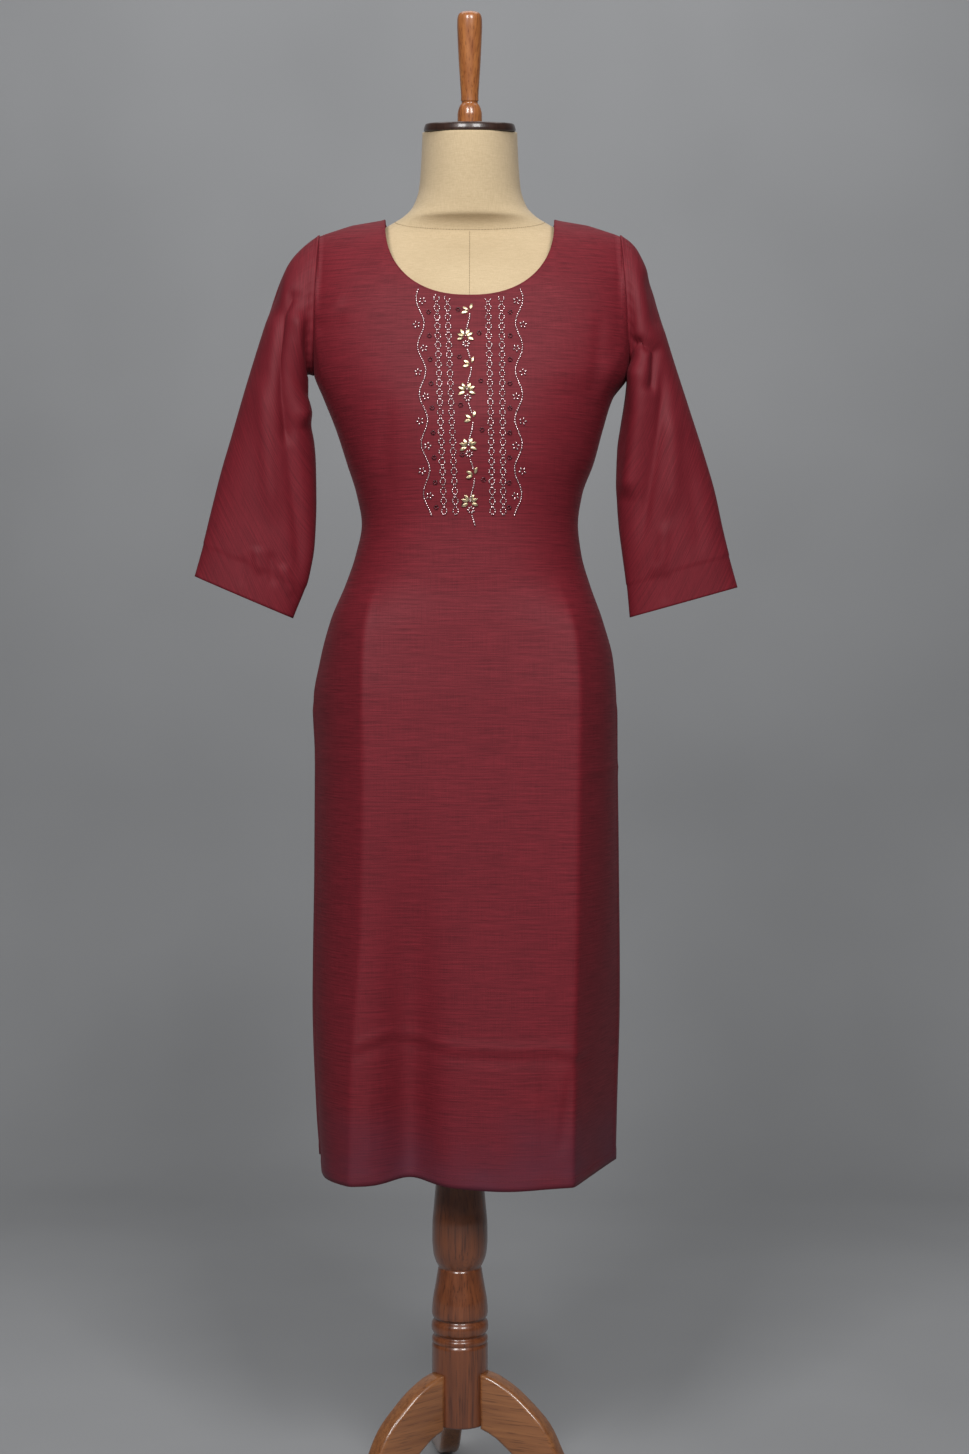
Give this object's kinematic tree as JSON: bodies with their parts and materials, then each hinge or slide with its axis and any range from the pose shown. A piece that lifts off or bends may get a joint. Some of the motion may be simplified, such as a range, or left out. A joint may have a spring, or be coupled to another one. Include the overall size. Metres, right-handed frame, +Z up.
{
  "type": "kurta tunic on dress form stand",
  "caption": "Straight-cut kurta tunic with a scoop neck, embroidered yoke, flared sleeves and side slits, worn by a limbless dress form on a turned wooden tripod stand.",
  "frame": {"origin": "centre of the footprint box, on the floor the feet stand on", "axes": "+Z up; -Y is the way the wearer faces; +X is the wearer's left"},
  "size_m": [0.634, 0.4436, 1.7396],
  "materials": {
    "cloth": "shot maroon silk-cotton",
    "form_cover": "unbleached linen",
    "cap_wood": "dark stained, satin",
    "handle_wood": "lacquered",
    "stand_wood": "red-brown lacquered"
  },
  "bodies": {
    "root": {"kurta_front": "cloth", "kurta_back": "cloth", "sleeve_right": "cloth", "sleeve_left": "cloth", "dress_form": "form_cover", "neck_cap": "cap_wood", "neck_handle": "handle_wood", "stand_post": "stand_wood", "leg_left": "stand_wood", "leg_right": "stand_wood", "leg_back": "stand_wood"}
  },
  "joints": []
}
